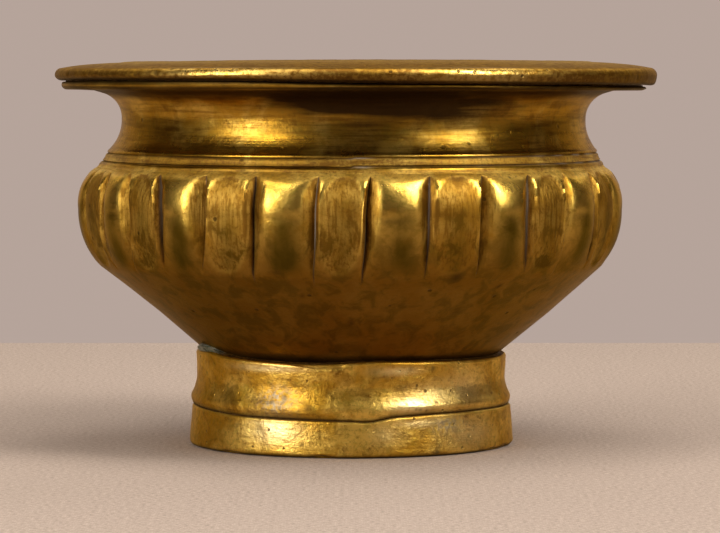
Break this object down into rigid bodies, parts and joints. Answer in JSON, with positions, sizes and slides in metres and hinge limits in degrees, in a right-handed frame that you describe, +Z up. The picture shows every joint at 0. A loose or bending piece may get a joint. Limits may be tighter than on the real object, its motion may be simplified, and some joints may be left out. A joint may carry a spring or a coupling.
{
  "type": "shaving bowl",
  "caption": "Small footed brass shaving bowl with a broad flat rim, waisted neck, fluted belly, tapering underside and a soldered ring foot.",
  "frame": {"origin": "centre of the base, on the surface the bowl stands on", "axes": "+Z up along the bowl's axis of turning, -Y towards the front; X to the side"},
  "size_m": [0.0914, 0.0914, 0.0582],
  "materials": {
    "bowl_brass": "old cast brass, worn bright on the lobes and browned in the cuts and under the belly",
    "rim_brass": "pitted cast brass, worn smooth along the edge",
    "foot_brass": "beaten sheet brass with fine pits and scratches",
    "solder": "dull grey soft solder, tarnished towards green"
  },
  "bodies": {
    "root": {"bowl_shell": "bowl_brass", "rim_ring": "rim_brass", "rim_solder": "solder", "foot_collar": "foot_brass", "foot_solder": "solder", "foot_band": "foot_brass", "band_solder": "solder"}
  },
  "joints": []
}
